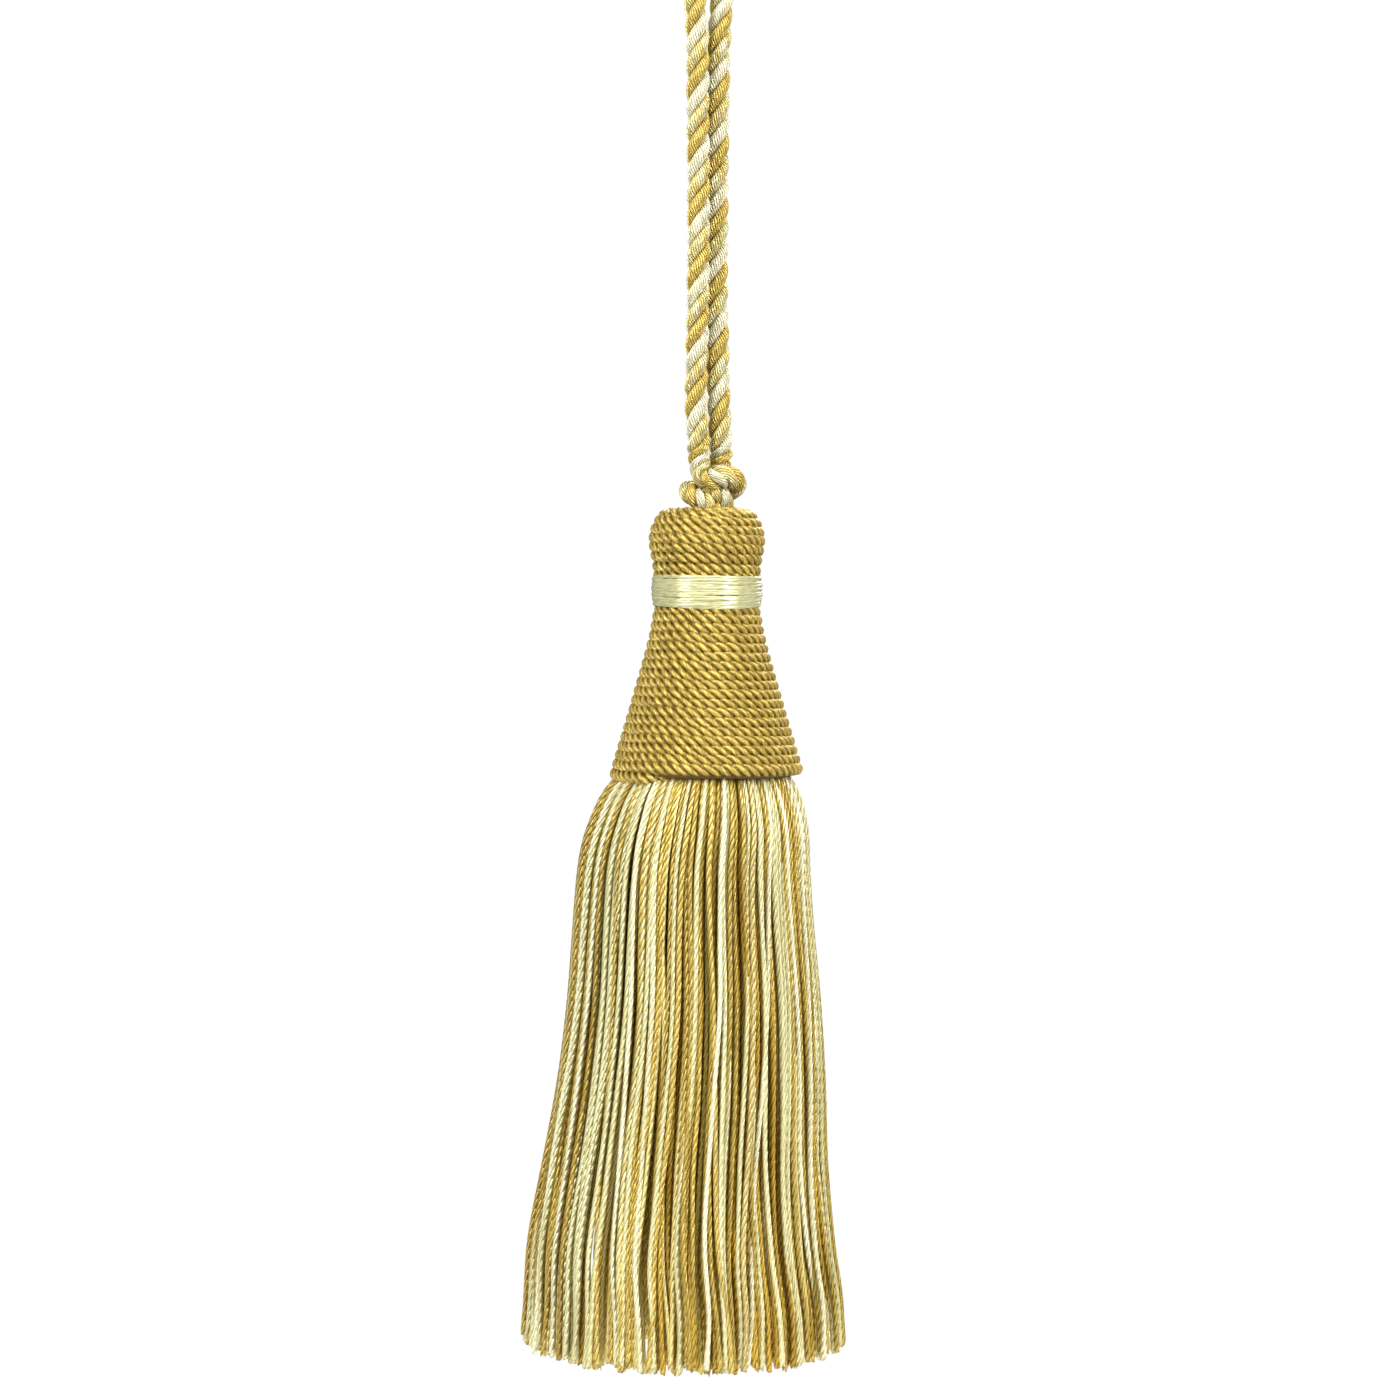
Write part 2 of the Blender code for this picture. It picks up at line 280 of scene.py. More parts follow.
# How much of the light cream's red, green and blue the skirt's cream threads have. How much of its
# silk's each layer has is painted light and shade: deeper ones are warmer and duller, as painted
# shade between the threads, and the strays lighter and paler, as painted highlight.
THREAD_CREAM_SHADES = (0.82, 0.82, 0.78)
LAYER_PAINTED_LIGHT_AND_SHADE = {
    "stray": (1.08, 1.09, 1.25),
    "outer": (1.04, 1.03, 1.0),
    "under": (1.12, 0.99, 0.70),
    "inner": (1.2, 0.98, 0.46),
}
LAYER_GLOSS = {"stray": 0.9, "outer": 0.8, "under": 0.4, "inner": 0.15}
# Threads that hang clear of the rest lower down: angle round the skirt, share of its radius.
LONE_THREADS = ((math.radians(181), 0.020), (math.radians(-3), 0.005))
# The threads' finish, in yarn_material's own words.
THREAD_LOOK = {
    "fibres": 14.0,
    "fibre_lay": -24.0,
    "depth": 0.08,
    "relief": 0.13,
    "roughness": 0.28,
    "streak_tone_and_glint_weigh": 0.3,
    "strands_weigh": 0.35,
    "groove_shade_weighs": 0.8,
}
CREAM_THREAD_LOOK = {
    **THREAD_LOOK,
    "tint": (1.0, 1.0, 0.92),
    "metallic": 0.25,
    "streak_tone_and_glint_weigh": 0.2,
    "strands_weigh": 0.3,
    "groove_shade_weighs": 0.42,
}

# Silk's fine tones: how many of each go to a millimetre along a strand, and how much finer the
# fine ones are across it. The seeds keep strands and lobes from looking alike.
STREAKS_A_MM = 0.55
FINE_A_MM = 1.9
FINE_ACROSS = 2.3
PATCHES_A_MM = 0.11
STRAND_SEED = 5.3
YARN_SEED = 31.0
ACCENT_SEED = 17.0

# The camera stands and looks at these depths under the head's top, a little to the left.
EYE_DEPTH = 12.3 * MM
TARGET_DEPTH = 33.8 * MM
VIEW_X = -1.2 * MM
# Soft boxes: degrees right and up of the view, distance, size, share of the key power.
LIGHTS = (
    ("left", (-50, 28), 0.75, (0.26, 0.55), 0.95),
    ("right", (50, 28), 0.75, (0.26, 0.55), 1.12),
    ("front", (3, 5), 1.1, (0.6, 0.6), 0.03),
    ("top", (0, 68), 0.9, (0.5, 0.5), 0.6),
    ("back", (165, 30), 0.9, (0.5, 0.5), 0.9),
)
# Depth under the rim that the soft boxes are aimed at, and the floor's.
LIT_DEPTH = 20 * MM
FLOOR_DEPTH = 165 * MM
FLOOR_RADIUS = 0.26
# The white surroundings, as a light and as the camera sees them.
SURROUNDINGS_LIGHT = 0.24
SURROUNDINGS_SEEN = 1.02

# Start of the random draws, which makes each run the same.
SEED = 11


class CordSettings(PropertyGroup):
    diameter: FloatProperty(
        name="Diameter",
        description="Width of the hanging cord",
        default=2 * CORD_RADIUS,
        min=0.001,
        unit="LENGTH",
    )
    lay: FloatProperty(
        name="Lay",
        description="Length of cord in which a ply goes once round",
        default=11.0 * MM,
        min=0.001,
        unit="LENGTH",
    )
    knot_lay: FloatProperty(
        name="Knot Lay",
        description="The same in the knot, which twists the cord tighter",
        default=5.4 * MM,
        min=0.001,
        unit="LENGTH",
    )
    ply_lay: FloatProperty(
        name="Ply Lay",
        description="Length of ply in which a yarn goes once round, the other way",
        default=4.6 * MM,
        min=0.001,
        unit="LENGTH",
    )
    yarns: IntProperty(
        name="Yarns in a Ply",
        description="Yarns that show round one ply",
        default=13,
        min=3,
    )


class HeadSettings(PropertyGroup):
    pitch: FloatProperty(
        name="Pitch",
        description="Distance from one turn of the winding to the next",
        default=1.66 * MM,
        min=0.0005,
        unit="LENGTH",
    )
    neck_pitch: FloatProperty(
        name="Neck Pitch",
        description="The same above the neck band",
        default=1.75 * MM,
        min=0.0005,
        unit="LENGTH",
    )
    lay: FloatProperty(
        name="Lay",
        description="Length of winding cord in which a ply goes once round",
        default=5.4 * MM,
        min=0.001,
        unit="LENGTH",
    )
    floss_turns: IntProperty(
        name="Floss Turns",
        description="Turns of floss in the neck band",
        default=12,
        min=1,
    )


class SkirtSettings(PropertyGroup):
    thread: FloatProperty(
        name="Thread",
        description="Width of one skirt thread",
        default=0.91 * MM,
        min=0.0002,
        unit="LENGTH",
    )
    lay: FloatProperty(
        name="Lay",
        description="Length of thread in which a ply goes once round",
        default=5.4 * MM,
        min=0.001,
        unit="LENGTH",
    )


class SilkSettings(PropertyGroup):
    gold: FloatVectorProperty(
        name="Gold",
        description="Lit colour of the gold silk",
        default=(0.68, 0.50, 0.098),
        size=3,
        min=0.0,
        max=1.0,
        subtype="COLOR",
    )
    # The darker gold: the silk's random darker tones and dark streaks, and its painted shade in the
    # grooves.
    gold_dark_tone_and_shade: FloatVectorProperty(
        name="Deep Gold",
        description="Colour of the gold silk in its grooves",
        default=(0.15, 0.085, 0.004),
        size=3,
        min=0.0,
        max=1.0,
        subtype="COLOR",
    )
    cream: FloatVectorProperty(
        name="Cream",
        description="Lit colour of the cream silk",
        default=(0.89, 0.88, 0.55),
        size=3,
        min=0.0,
        max=1.0,
        subtype="COLOR",
    )
    # The darker cream: the silk's random darker tones and dark streaks, and its painted shade in
    # the grooves.
    cream_dark_tone_and_shade: FloatVectorProperty(
        name="Deep Cream",
        description="Colour of the cream silk in its grooves",
        default=(0.34, 0.25, 0.03),
        size=3,
        min=0.0,
        max=1.0,
        subtype="COLOR",
    )


class StageSettings(PropertyGroup):
    distance: FloatProperty(
        name="Distance",
        description="Distance of the camera from the tassel's axis",
        default=0.8,
        min=0.1,
        unit="LENGTH",
    )
    view_width: FloatProperty(
        name="View Width",
        description="Width of the view at the tassel",
        default=243.6 * MM,
        min=0.05,
        unit="LENGTH",
    )
    key_power: FloatProperty(
        name="Key Power",
        description="Power of a main soft light",
        default=6.0,
        min=0.0,
        unit="POWER",
    )


class TasselSettings(PropertyGroup):
    cord: PointerProperty(type=CordSettings, name="Cord", description="The hanging cord")
    head: PointerProperty(type=HeadSettings, name="Head", description="The wound head")
    skirt: PointerProperty(type=SkirtSettings, name="Skirt", description="The skirt of cut yarn")
    silk: PointerProperty(type=SilkSettings, name="Silk", description="The silk's colours")
    stage: PointerProperty(type=StageSettings, name="Stage", description="Camera and lights")


def smooth_route(rows, step):
    """Rows about a step apart on a Catmull-Rom curve through rows of any width."""
    rows = np.asarray(rows, float)
    ends = np.vstack([2 * rows[0] - rows[1], rows, 2 * rows[-1] - rows[-2]])
    route = [rows[0]]
    for before, start, end, after in zip(ends, ends[1:], ends[2:], ends[3:]):
        count = max(1, round(np.linalg.norm((end - start)[:3]) / step))
        for i in range(1, count + 1):
            t = i / count
            route.append(
                0.5
                * (
                    2 * start
                    + (end - before) * t
                    + (2 * before - 5 * start + 4 * end - after) * t**2
                    + (3 * start - before - 3 * end + after) * t**3
                )
            )
    return np.array(route)


def lengths_along(points):
    """Distance along a route at each of its points."""
    steps = np.linalg.norm(np.diff(points[:, :3], axis=0), axis=1)
    return np.concatenate([[0.0], np.cumsum(steps)])


def evenly(rows, step):
    """The same route in rows an even step apart."""
    along = lengths_along(rows)
    places = np.linspace(0.0, along[-1], max(2, round(along[-1] / step) + 1))
    return np.column_stack([np.interp(places, along, column) for column in rows.T])


def carried_frames(points):
    """Two directions across a route at each point, carried along it without turning."""
    tangents = np.gradient(points, axis=0)
    tangents /= np.linalg.norm(tangents, axis=1)[:, None]
    across = np.cross(tangents[0], (0.0, 1.0, 0.0))
    if np.linalg.norm(across) < 0.1:
        across = np.cross(tangents[0], (1.0, 0.0, 0.0))
    normals = []
    for tangent in tangents:
        across = across - tangent * (across @ tangent)
        across = across / np.linalg.norm(across)
        normals.append(across)
    normals = np.array(normals)
    return normals, np.cross(tangents, normals)


def frames_of(rows):
    """Two directions across the route at each row, and the lengths along it."""
    normals, sides = carried_frames(rows[:, :3])
    return normals, sides, lengths_along(rows)


def placed(rows, frames, across, aside):
    """Rings of points from their two distances off the route, one row of each for every ring."""
    normals, sides = frames[:2]
    return (
        rows[:, None, :3]
        + across[:, :, None] * normals[:, None, :]
        + aside[:, :, None] * sides[:, None, :]
    )


def twisted_rings(rows, profile, lay):
    """Rings of a profile of radii that turns once in each lay along a route."""
    frames = frames_of(rows)
    side = len(profile)
    turn = 2 * math.pi * ((frames[2] / lay)[:, None] + np.arange(side)[None, :] / side)
    reach = rows[:, 3:4] * np.asarray(profile)[None, :]
    return placed(rows, frames, reach * np.cos(turn), reach * np.sin(turn))


def cord_turns(rows, foot, end, cord):
    """How far the cord's plies have turned at each row. They lie closer in the knot."""
    along = lengths_along(rows)
    legs = np.clip(along, along[foot], along[end])
    return CORD_FOOT_TURN + (legs - along[foot]) / cord.lay + (along - legs) / cord.knot_lay


def ply_rings(rows, ply, turns, cord):
    """Rings of one ply of a laid cord: an oval ridged by its yarns."""
    frames = frames_of(rows)
    side = 2 * cord.yarns
    own = np.arange(side)[None, :] / side - (frames[2] / cord.ply_lay)[:, None]
    facing = 2 * math.pi * own
    cosine, sine = np.cos(facing), np.sin(facing)
    reach = 1 / np.hypot(cosine / (1 - PLY_MIDDLE), sine / PLY_HALF_WIDTH)
    reach[:, 0::2] -= YARN_VALLEY
    turn = 2 * math.pi * (turns + ply / PLIES)[:, None]
    out, over = PLY_MIDDLE + reach * cosine, reach * sine
    radius = rows[:, 3:4]
    across = radius * (out * np.cos(turn) - over * np.sin(turn))
    aside = radius * (out * np.sin(turn) + over * np.cos(turn))
    return placed(rows, frames, across, aside)


def wrapped_rings(rows, side):
    """Round rings along a route about or beside the Z axis, their seam towards the axis."""
    tangents = np.gradient(rows[:, :3], axis=0)
    tangents /= np.linalg.norm(tangents, axis=1)[:, None]
    inward = -rows[:, :3] * (1.0, 1.0, 0.0)
    inward -= tangents * (inward * tangents).sum(axis=1)[:, None]
    inward /= np.linalg.norm(inward, axis=1)[:, None]
    upward = np.cross(tangents, inward)
    angles = 2 * math.pi * np.arange(side)[None, :] / side
    radius = rows[:, 3:4]
    return placed(rows, (inward, upward), radius * np.cos(angles), radius * np.sin(angles))


def sunk(rings):
    """The rings of a strand whose last few draw in, to end inside the strand that carries on."""
    rings = rings.copy()
    for i in range(SUNK_RINGS):
        middle = rings[-1 - i].mean(axis=0)
        rings[-1 - i] = middle + (rings[-1 - i] - middle) * (1 - SUNK_STEP * (SUNK_RINGS - i))
    return rings


def lobed_profile(lobes, points_a_lobe, valley):
    """Radii round a bundle of plies, from the valley between two of them up to 1 at a crown."""
    place = np.arange(lobes * points_a_lobe) % points_a_lobe / points_a_lobe
    return valley + (1 - valley) * np.sin(math.pi * place) ** 0.6


def spun(name, strands, materials, picks=None, first=0):
    """One piece of closed strands, each given by its rings of points.

    Its UV map runs along a strand in millimetres, and round it from 0 to 1 above the strand's
    own whole number.
    """
    side = strands[0].shape[1]
    ring = bpy.data.curves.new("ring", "CURVE")
    spline = ring.splines.new("POLY")
    spline.points.add(side - 1)
    for i, point in enumerate(spline.points):
        angle = 2 * math.pi * i / side
        point.co = (0.4 * MM * math.cos(angle), 0.4 * MM * math.sin(angle), 0, 1)
    spline.use_cyclic_u = True
    section = bpy.data.objects.new("ring", ring)
    curve = bpy.data.curves.new(name, "CURVE")
    curve.dimensions = "3D"
    curve.bevel_mode = "OBJECT"
    curve.bevel_object = section
    for material in materials:
        curve.materials.append(material)
    for i, rings in enumerate(strands):
        middles = rings.mean(axis=1)
        spline = curve.splines.new("POLY")
        spline.points.add(len(middles) - 1)
        spline.points.foreach_set("co", np.column_stack([middles, np.ones(len(middles))]).ravel())
        spline.material_index = picks[i] if picks is not None else 0
    holder = bpy.data.objects.new(name, curve)
    for helper in (section, holder):
        bpy.context.scene.collection.objects.link(helper)
    graph = bpy.context.evaluated_depsgraph_get()
    mesh = bpy.data.meshes.new_from_object(holder.evaluated_get(graph))
    mesh.name = name
    bpy.data.objects.remove(holder)
    bpy.data.objects.remove(section)
    mesh.vertices.foreach_set("co", np.concatenate([rings.ravel() for rings in strands]))

    layer = mesh.uv_layers[0]
    layer.name = "Yarn"
    uv = np.empty(2 * len(mesh.loops), np.float32)
    layer.data.foreach_get("uv", uv)
    uv = uv.reshape(-1, 2)
    corners = [4 * side * (len(rings) - 1) for rings in strands]
    totals = [lengths_along(rings.mean(axis=1))[-1] / MM for rings in strands]
    uv[:, 0] *= np.repeat(totals, corners)
    numbers = np.repeat(np.arange(first, first + len(strands)), corners)
    uv[:, 1] = np.clip(uv[:, 1], 0.0001, 0.9999) + numbers
    layer.data.foreach_set("uv", uv.ravel())
    mesh.polygons.foreach_set("use_smooth", np.ones(len(mesh.polygons), bool))

    shape = bmesh.new()
    shape.from_mesh(mesh)
    ends = [edge for edge in shape.edges if edge.is_boundary]
    caps = bmesh.ops.holes_fill(shape, edges=ends, sides=side)["faces"]
    yarn = shape.loops.layers.uv["Yarn"]
    for cap in caps:
        for corner in cap.loops:
            beside = next(other for other in corner.vert.link_loops if other.face != cap)
            corner[yarn].uv = beside[yarn].uv
            cap.material_index = beside.face.material_index
    bmesh.ops.recalc_face_normals(shape, faces=shape.faces)
    shape.to_mesh(mesh)
    shape.free()
    return add_piece(name, mesh)


def add_piece(name, mesh):
    """A finished mesh as a piece that rides on the tassel."""
    piece = bpy.data.objects.new(name, mesh)
    bpy.context.scene.collection.objects.link(piece)
    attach(piece, BODY)
    return piece


class Nodes:
    """Short calls for the nodes of one material."""

    def __init__(self, name):
        self.material = bpy.data.materials.new(name)
        self.material.use_nodes = True
        self.tree = self.material.node_tree
        self.shader = self.tree.nodes["Principled BSDF"]

    def plug(self, value, socket):
        """Links a node's output to a socket, or sets the socket to a number or colour."""
        if isinstance(value, bpy.types.NodeSocket):
            self.tree.links.new(value, socket)
        else:
            socket.default_value = value

    def maths(self, operation, *values):
        made = self.tree.nodes.new("ShaderNodeMath")
        made.operation = operation
        for value, socket in zip(values, made.inputs):
            self.plug(value, socket)
        return made.outputs[0]

    def mixed(self, share, start, end):
        made = self.tree.nodes.new("ShaderNodeMix")
        made.data_type = "RGBA"
        self.plug(share, made.inputs["Factor"])
        self.plug(start, made.inputs["A"])
        self.plug(end, made.inputs["B"])
        return made.outputs["Result"]

    def joined(self, x, y, z):
        made = self.tree.nodes.new("ShaderNodeCombineXYZ")
        for value, socket in zip((x, y, z), made.inputs):
            self.plug(value, socket)
        return made.outputs[0]

    def noise(self, vector, scale, detail=2.0):
        made = self.tree.nodes.new("ShaderNodeTexNoise")
        self.plug(vector, made.inputs["Vector"])
        made.inputs["Scale"].default_value = scale
        made.inputs["Detail"].default_value = detail
        return made.outputs["Fac"]

    def chance(self, value):
        """An even random number from 0 to 1 for each whole number."""
        made = self.tree.nodes.new("ShaderNodeTexWhiteNoise")
        made.noise_dimensions = "1D"
        self.plug(value, made.inputs["W"])
        return made.outputs["Value"]

    def ramp(self, value, low, high):
        """0 at low and 1 at high, eased between them."""
        made = self.tree.nodes.new("ShaderNodeMapRange")
        made.interpolation_type = "SMOOTHSTEP"
        self.plug(value, made.inputs["Value"])
        made.inputs["From Min"].default_value = low
        made.inputs["From Max"].default_value = high
        return made.outputs["Result"]

    def yarn_map(self):
        """Millimetres along the strand, share of the way round it, and its whole number."""
        made = self.tree.nodes.new("ShaderNodeUVMap")
        made.uv_map = "Yarn"
        split = self.tree.nodes.new("ShaderNodeSeparateXYZ")
        self.tree.links.new(made.outputs[0], split.inputs[0])
        number = self.maths("FLOOR", split.outputs["Y"])
        return split.outputs["X"], self.maths("FRACT", split.outputs["Y"]), number

    def sum_of(self, *parts):
        """Adds values, each given with its weight."""
        total = None
        for value, weight in parts:
            part = self.maths("MULTIPLY", value, weight)
            total = part if total is None else self.maths("ADD", total, part)
        return total

    def finish(self, colour, constants, height, depth):
        """Sets the shader's colour, constants and bump, and gives the material."""
        self.plug(colour, self.shader.inputs["Base Color"])
        for socket, value in constants.items():
            self.shader.inputs[socket].default_value = value
        bump = self.tree.nodes.new("ShaderNodeBump")
        bump.inputs["Strength"].default_value = 1.0
        bump.inputs["Distance"].default_value = depth
        self.plug(height, bump.inputs["Height"])
        self.tree.links.new(bump.outputs[0], self.shader.inputs["Normal"])
        return self.material


def yarn_material(
    name,
    light,
    deep,
    lobes,
    accent=None,
    pattern_lay=None,
    fibres=16.0,
    fibre_lay=None,
    depth=0.05,
    roughness=0.36,
    tint=(1.0, 0.95, 0.78),
    metallic=0.36,
    gloss=0.9,
    streak_tone_and_glint_weigh=0.3,
    streaks_end=0.68,
    yarns_weigh=0.0,
    strands_weigh=0.15,
    groove_shade_weighs=0.75,
    relief=0.0,
):
    """Silk yarn with its filaments and their streaks, partly painted glints, painted shade in the
    grooves between its lobes, and a tone of its own.

    accent is a second (light, deep) pair for some of the lobes. pattern_lay is given where the
    lobes aren't in the mesh, so that the grooves have to turn in the pattern. relief rounds each
    lobe and depth its filaments, by bump. Lays, relief and depth are in millimetres.
    """
    nodes = Nodes(name)
    along, around, number = nodes.yarn_map()
    place = around
    if pattern_lay:
        start = nodes.chance(nodes.maths("ADD", number, 0.5))
        turn = nodes.sum_of((around, 1.0), (along, -1 / pattern_lay), (start, 1.0))
        place = nodes.maths("FRACT", turn)
    lobe_place = nodes.maths("MULTIPLY", place, float(lobes))
    from_valley = nodes.maths("PINGPONG", lobe_place, 0.5)
    # groove is 1 in the valleys between lobes: it paints shade there and sinks the bump.
    groove = nodes.ramp(from_valley, 0.3, 0.0)

    turned = nodes.maths("MULTIPLY", around, fibres)
    if fibre_lay:
        turned = nodes.sum_of((around, fibres), (along, fibres / fibre_lay))
    seed = nodes.maths("MULTIPLY", number, STRAND_SEED)

    def tones(a_mm, across, detail=2.0):
        stretched = nodes.maths("MULTIPLY", along, a_mm)
        return nodes.noise(nodes.joined(stretched, across, seed), 1.0, detail)

    def lobe_chance(lobe_seed):
        lobe = nodes.maths("FLOOR", lobe_place)
        return nodes.chance(nodes.sum_of((lobe, 1.0), (number, lobe_seed)))

    streaks = tones(STREAKS_A_MM, turned)
    fine = tones(FINE_A_MM, nodes.maths("MULTIPLY", turned, FINE_ACROSS))
    patches = tones(PATCHES_A_MM, 0.0, 1.0)
    # The body's tone: light and dark streaks along the filaments, partly a random tone and partly
    # painted glints, then a random tone for each strand and in patches.
    parts = [
        (nodes.ramp(streaks, 0.38, streaks_end), streak_tone_and_glint_weigh),
        (nodes.chance(number), strands_weigh),
        (nodes.ramp(patches, 0.4, 0.7), 0.5 * strands_weigh),
    ]
    if yarns_weigh:
        parts.append((lobe_chance(YARN_SEED), yarns_weigh))

    lit, dark = (*light, 1.0), (*deep, 1.0)
    if accent:
        other = nodes.maths("LESS_THAN", lobe_chance(ACCENT_SEED), 0.5)
        lit = nodes.mixed(other, lit, (*accent[0], 1.0))
        dark = nodes.mixed(other, dark, (*accent[1], 1.0))
    body = nodes.mixed(nodes.sum_of(*parts), lit, dark)
    # Painted shade: the colour goes towards the dark one in the grooves.
    colour = nodes.mixed(nodes.maths("MULTIPLY", groove, groove_shade_weighs), body, dark)
    flank = nodes.maths("SUBTRACT", 1.0, nodes.maths("MULTIPLY", from_valley, 2.0))
    slump = nodes.maths("POWER", flank, 2.0)
    height = nodes.sum_of(
        (slump, -relief), (groove, -0.5 * depth), (streaks, 0.7 * depth), (fine, 0.5 * depth)
    )
    constants = {
        "Roughness": roughness,
        "Metallic": metallic,
        "Specular IOR Level": gloss,
        "Specular Tint": (*tint, 1.0),
    }
    return nodes.finish(colour, constants, height, MM)


def silks(context):
    """The light and deep colours of the gold and the cream silk."""
    silk = context.scene.tassel.silk
    return (tuple(silk.gold), tuple(silk.gold_dark_tone_and_shade)), (tuple(silk.cream), tuple(silk.cream_dark_tone_and_shade))


def blended(start, end, share):
    """A (light, deep) pair part of the way from one pair to another."""
    return [
        tuple((1 - share) * a + share * b for a, b in zip(*tones)) for tones in zip(start, end)
    ]


def shaded(tone, shades):
    """A colour with its red, green and blue scaled, none of them past 1."""
    return tuple(min(value * shade, 1.0) for value, shade in zip(tone, shades))


def both_shaded(pair, shades):
    """A (light, deep) pair with both of its colours scaled."""
    return [shaded(tone, shades) for tone in pair]


class TASSEL_OT_stage(Operator):
    """Sets the camera, the soft lights, the white surroundings and the pale floor"""

    bl_idname = "tassel.stage"
    bl_label = "Set the Stage"

    def execute(self, context):
        scene = context.scene
        stage = scene.tassel.stage
        camera = bpy.data.cameras.new("camera")
        camera.sensor_width = 36.0
        camera.lens = camera.sensor_width * stage.distance / stage.view_width
        camera.clip_start = 0.01
        holder = bpy.data.objects.new("camera", camera)
        eye = Vector((VIEW_X, -stage.distance, HEAD_TOP_Z - EYE_DEPTH))
        target = Vector((VIEW_X, 0, HEAD_TOP_Z - TARGET_DEPTH))
        holder.location = eye
        holder.rotation_euler = (target - eye).to_track_quat("-Z", "Y").to_euler()
        scene.collection.objects.link(holder)
        scene.camera = holder

        for name, direction, distance, size, share in LIGHTS:
            add_light(name, direction, distance, size, share * stage.key_power)

        world = bpy.data.worlds.new("white")
        world.use_nodes = True
        tree = world.node_tree
        background = tree.nodes["Background"]
        background.inputs["Color"].default_value = (1.0, 1.0, 1.0, 1.0)
        rays = tree.nodes.new("ShaderNodeLightPath")
        strength = tree.nodes.new("ShaderNodeMapRange")
        strength.inputs["To Min"].default_value = SURROUNDINGS_LIGHT
        strength.inputs["To Max"].default_value = SURROUNDINGS_SEEN
        tree.links.new(rays.outputs["Is Camera Ray"], strength.inputs["Value"])
        tree.links.new(strength.outputs[0], background.inputs["Strength"])
        scene.world = world
        scene.view_settings.view_transform = "Standard"

        shape = bmesh.new()
        bmesh.ops.create_circle(shape, cap_ends=True, segments=96, radius=FLOOR_RADIUS)
        bmesh.ops.translate(shape, verts=shape.verts, vec=(0, 0, RIM_Z - FLOOR_DEPTH))
        mesh = bpy.data.meshes.new("floor")
        shape.to_mesh(mesh)
        shape.free()
        floor = bpy.data.objects.new("floor", mesh)
        nodes = Nodes("pale_floor")
        nodes.shader.inputs["Base Color"].default_value = (0.86, 0.86, 0.85, 1)
        nodes.shader.inputs["Roughness"].default_value = 0.8
        floor.data.materials.append(nodes.material)
        scene.collection.objects.link(floor)
        return {"FINISHED"}


def add_light(name, direction, distance, size, power):
    """A soft box aimed at the tassel. Its direction is degrees right and up of the view."""
    middle = Vector((0, 0, RIM_Z - LIT_DEPTH))
    light = bpy.data.lights.new(name, "AREA")
    light.shape = "RECTANGLE"
    light.size, light.size_y = size
    light.energy = power
    right, up = map(math.radians, direction)
    away = Vector((math.sin(right) * math.cos(up), -math.cos(right) * math.cos(up), math.sin(up)))
    holder = bpy.data.objects.new(name, light)
    holder.location = middle + away * distance
    holder.rotation_euler = away.to_track_quat("Z", "Y").to_euler()
    bpy.context.scene.collection.objects.link(holder)


def over_head(rows_mm):
    """Rows in metres, from rows in millimetres whose heights are above the head's top."""
    return [(x * MM, y * MM, HEAD_TOP_Z + z * MM, r * MM) for x, y, z, r in rows_mm]


def cord_rows():
    """Places and radii of the hanging cord, from the head up, over the hook and back."""
    rows = over_head((*HITCH_MM, *LEFT_LEG_MM))
    for i in range(LOOP_ARC_POINTS):
        angle = math.pi * (1 - i / (LOOP_ARC_POINTS - 1))
        x = LOOP_ARC_RADIUS * math.cos(angle)
        z = CORD_RADIUS - LOOP_ARC_RADIUS + LOOP_ARC_RADIUS * math.sin(angle)
        rows.append((x, 0.0, z, CORD_RADIUS))
    return rows + over_head((*RIGHT_LEG_MM, *STRAIGHT_MM))


class TASSEL_OT_hanging_cord(Operator):
    """Lays up the three-ply hanging cord along its loop and knot"""

    bl_idname = "tassel.hanging_cord"
    bl_label = "Hanging Cord"

    def execute(self, context):
        cord = context.scene.tassel.cord
        gold, cream = silks(context)
        look = {
            "lobes": cord.yarns,
            "fibres": 30.0,
            "depth": 0.18,
            "roughness": 0.28,
            "streak_tone_and_glint_weigh": 0.5,
            "yarns_weigh": 0.15,
            "strands_weigh": 0.0,
            "groove_shade_weighs": 0.6,
            "relief": 0.12,
        }
        bright_gold = both_shaded(blended(gold, cream, 0.08), CORD_GOLD_SHADES)
        bright_cream = both_shaded(cream, CORD_CREAM_SHADES)
        mixed = both_shaded(blended(gold, cream, 0.3), CORD_GOLD_SHADES)
        accent = blended(gold, cream, 0.9)
        materials = [
            yarn_material("cord_gold", *bright_gold, **look),
            yarn_material("cord_cream", *bright_cream, metallic=0.15, **look),
            yarn_material("cord_mixed", *mixed, accent=accent, **look),
        ]
        rows = evenly(smooth_route(cord_rows(), CORD_STEP), CORD_STEP)
        high = np.flatnonzero(rows[:, 2] >= HEAD_TOP_Z + LEG_FOOT)
        foot, end = high[0], high[-1]
        turns = cord_turns(rows, foot, end, cord)
        plies = [ply_rings(rows, ply, turns, cord) for ply in range(PLIES)]
        ties = [sunk(rings[: foot + SUNK_RINGS + 1]) for rings in plies]
        ties += [sunk(rings[end - SUNK_RINGS :][::-1])[::-1] for rings in plies]
        knot = spun("tied_knot", ties, materials, picks=(0, 1, 2, 0, 1, 2))
        legs = [rings[foot : end + 1] for rings in plies]
        loop = spun("hanging_cord", legs, materials, picks=(0, 1, 2))
        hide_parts("cord_loop")
        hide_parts("cord_knot")
        return {"FINISHED"}


